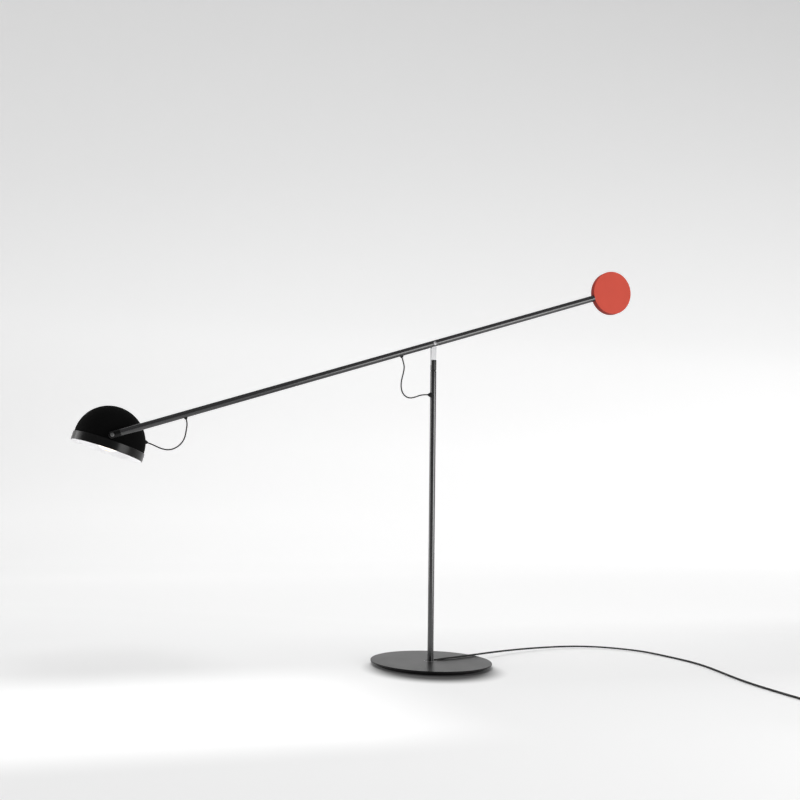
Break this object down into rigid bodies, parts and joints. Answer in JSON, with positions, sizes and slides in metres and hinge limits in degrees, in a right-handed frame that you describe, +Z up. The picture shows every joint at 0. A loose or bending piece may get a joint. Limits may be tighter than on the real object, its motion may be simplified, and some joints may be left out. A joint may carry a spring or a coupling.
{
  "type": "counterweight balance desk lamp",
  "caption": "Desk lamp with a long thin arm balanced across a slim column, a domed head low on one end, a round flat counterweight on the other and a round base.",
  "frame": {"origin": "centre of the base's underside, on the table", "axes": "+Z up along the column; the arm lies in the XZ plane at rest, counterweight towards +X and head towards -X, with the head's centre offset towards +Y"},
  "size_m": [1.0393, 0.6792, 0.6791],
  "materials": {
    "black_steel": "fine satin powder coat, dark grey-black",
    "felt_pad": "matt foam rubber",
    "black_fitting": "satin black anodised",
    "zinc_screw": "zinc plated",
    "black_tube": "satin black lacquer on steel tube",
    "black_rubber": "matt moulded rubber",
    "inner_cable": "insulated wire",
    "nylon": "natural nylon",
    "mains_sheath": "smooth round sheath",
    "loop_sheath": "thin round sheath",
    "driver_plastic": "fine textured moulding",
    "nickel": "nickel plated",
    "spring_steel": "dark spring steel",
    "satin_steel": "fine vertical satin",
    "black_anodised": "satin black anodised",
    "plain_aluminium": "as turned",
    "black_screw": "black oxide",
    "bright_screw": "polished stainless",
    "red_enamel": "flat orange-red enamel on steel",
    "black_head": "matt black paint on spun aluminium",
    "black_ring": "satin black anodised",
    "white_reflector": "matt white",
    "white_board": "white solder mask",
    "phosphor": "yellow phosphor",
    "opal": "opal diffusing"
  },
  "bodies": {
    "stand": {"base_plate": "black_steel", "base_pad": "felt_pad", "column_foot": "black_fitting", "foot_screws": "zinc_screw", "column_tube": "black_tube", "column_gland": "black_rubber", "column_cable": "inner_cable", "column_bush": "nylon", "exit_relief": "black_rubber", "mains_cable": "mains_sheath", "mains_coil": "mains_sheath", "driver_lead": "mains_sheath", "driver_relief": "black_rubber", "driver_case": "driver_plastic", "driver_cover": "driver_plastic", "driver_pins": "nickel"},
    "swivel": {"swivel_washer": "nylon", "swivel_collar": "black_tube", "swivel_spindle": "zinc_screw", "spindle_clip": "spring_steel", "tongue_blade": "satin_steel", "collar_pin": "zinc_screw"},
    "arm": {"arm_tube": "black_anodised", "arm_clevis": "plain_aluminium", "arm_knuckle": "black_anodised", "arm_end_plug": "plain_aluminium", "pivot_screw": "black_screw", "pivot_nut": "zinc_screw", "pivot_washers": "nylon", "arm_gland_column_end": "black_rubber", "arm_gland_head_end": "black_rubber", "arm_cable": "inner_cable", "counterweight_disc": "red_enamel", "counterweight_stud": "zinc_screw", "pivot_loop_cable": "loop_sheath", "head_loop_cable": "loop_sheath"},
    "head": {"head_dome": "black_head", "hinge_spacer": "black_fitting", "hinge_boss": "plain_aluminium", "hinge_screw": "bright_screw", "hinge_nut": "zinc_screw", "head_ring": "black_ring", "led_tray": "plain_aluminium", "reflector": "white_reflector", "tray_screws": "zinc_screw", "led_board": "white_board", "led_chips": "phosphor", "led_lens": "opal", "lens_retainer": "white_reflector", "head_gland": "black_rubber", "head_cable": "inner_cable"}
  },
  "joints": [
    {"name": "column_swivel", "type": "hinge", "parent": "stand", "child": "swivel", "pos_m": [0, 0, 0.492], "axis": [0, 0, 1], "range_deg": [-150, 150], "deforming": ["pivot_loop_cable"]},
    {"name": "arm_tilt", "type": "hinge", "parent": "swivel", "child": "arm", "pos_m": [0, 0, 0.537], "axis": [0, 1, 0], "range_deg": [-22, 58], "deforming": ["pivot_loop_cable"]},
    {"name": "head_tilt", "type": "hinge", "parent": "arm", "child": "head", "pos_m": [-0.5255, 0, 0.37131], "axis": [0, 1, 0], "range_deg": [-60, 60], "deforming": ["head_loop_cable"]}
  ]
}
